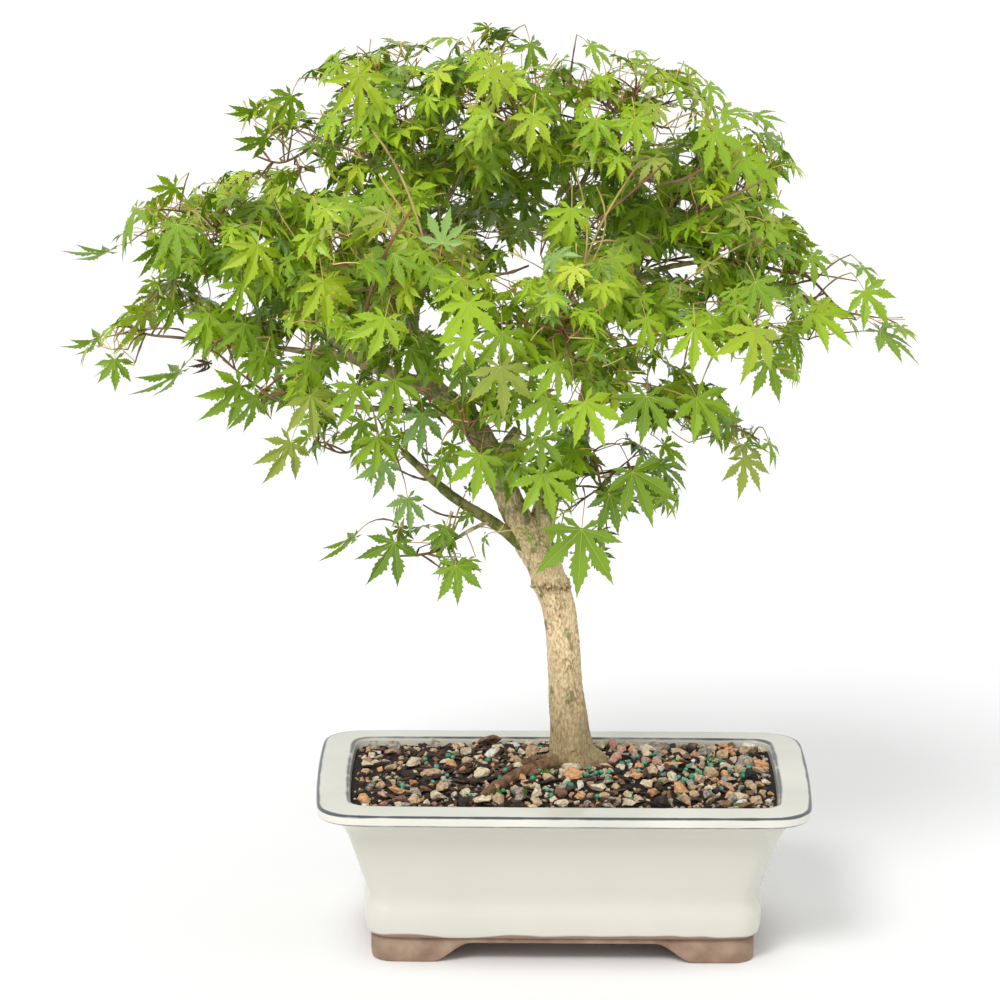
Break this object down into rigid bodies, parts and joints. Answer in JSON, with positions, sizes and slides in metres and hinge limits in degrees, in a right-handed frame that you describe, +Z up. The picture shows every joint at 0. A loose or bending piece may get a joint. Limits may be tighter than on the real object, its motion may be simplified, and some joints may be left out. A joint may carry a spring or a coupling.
{
  "type": "japanese maple bonsai in a glazed pot",
  "caption": "Small ornamental maple trained as an informal upright bonsai, with a broad leafy crown, in a rectangular glazed ceramic pot on corner feet.",
  "frame": {"origin": "under the middle of the whole plant's bounding box, on the plane that the pot's feet stand on", "axes": "+X to the right along the pot's long side, +Y away from the viewer, +Z up"},
  "size_m": [0.5314, 0.3462, 0.5718],
  "materials": {
    "glaze": "glossy",
    "clay": "matte",
    "soil": "matte",
    "bark": "matte",
    "green_bark": "satin",
    "leaves": "satin"
  },
  "bodies": {
    "root": {"pot": "glaze", "foot_front_left": "clay", "foot_back_left": "clay", "foot_front_right": "clay", "foot_back_right": "clay", "soil": "soil", "trunk": "bark", "surface_root_front": "bark", "surface_root_left": "bark", "surface_root_right": "bark", "left_bough": "bark", "right_bough": "bark", "green_bough": "green_bark", "upper_leader": "bark", "left_limb": "bark", "shoulder_left_bough": "bark", "top_centre_bough": "bark", "front_left_bough": "bark", "back_centre_bough": "bark", "left_upper_bough": "bark", "left_outer_bough": "bark", "back_left_bough": "bark", "left_low_bough": "bark", "inner_front_bough": "bark", "low_left_bough": "bark", "right_leader": "bark", "centre_leader": "bark", "front_centre_bough": "bark", "right_outer_bough": "bark", "right_low_bough": "bark", "right_skirt_bough": "bark", "centre_low_bough": "bark", "back_right_bough": "bark", "foliage_crown_top_left": "leaves", "foliage_crown_top_centre": "leaves", "foliage_crown_top_right": "leaves", "foliage_shoulder_right": "leaves", "foliage_right_outer": "leaves", "foliage_right_low": "leaves", "foliage_right_skirt": "leaves", "foliage_centre_front": "leaves", "foliage_centre_low": "leaves", "foliage_shoulder_left": "leaves", "foliage_left_upper": "leaves", "foliage_left_outer": "leaves", "foliage_left_low": "leaves", "foliage_left_skirt": "leaves", "foliage_low_left": "leaves", "foliage_front_left": "leaves", "foliage_inner_front": "leaves", "foliage_back_left": "leaves", "foliage_back_centre": "leaves", "foliage_back_right": "leaves"}
  },
  "joints": []
}
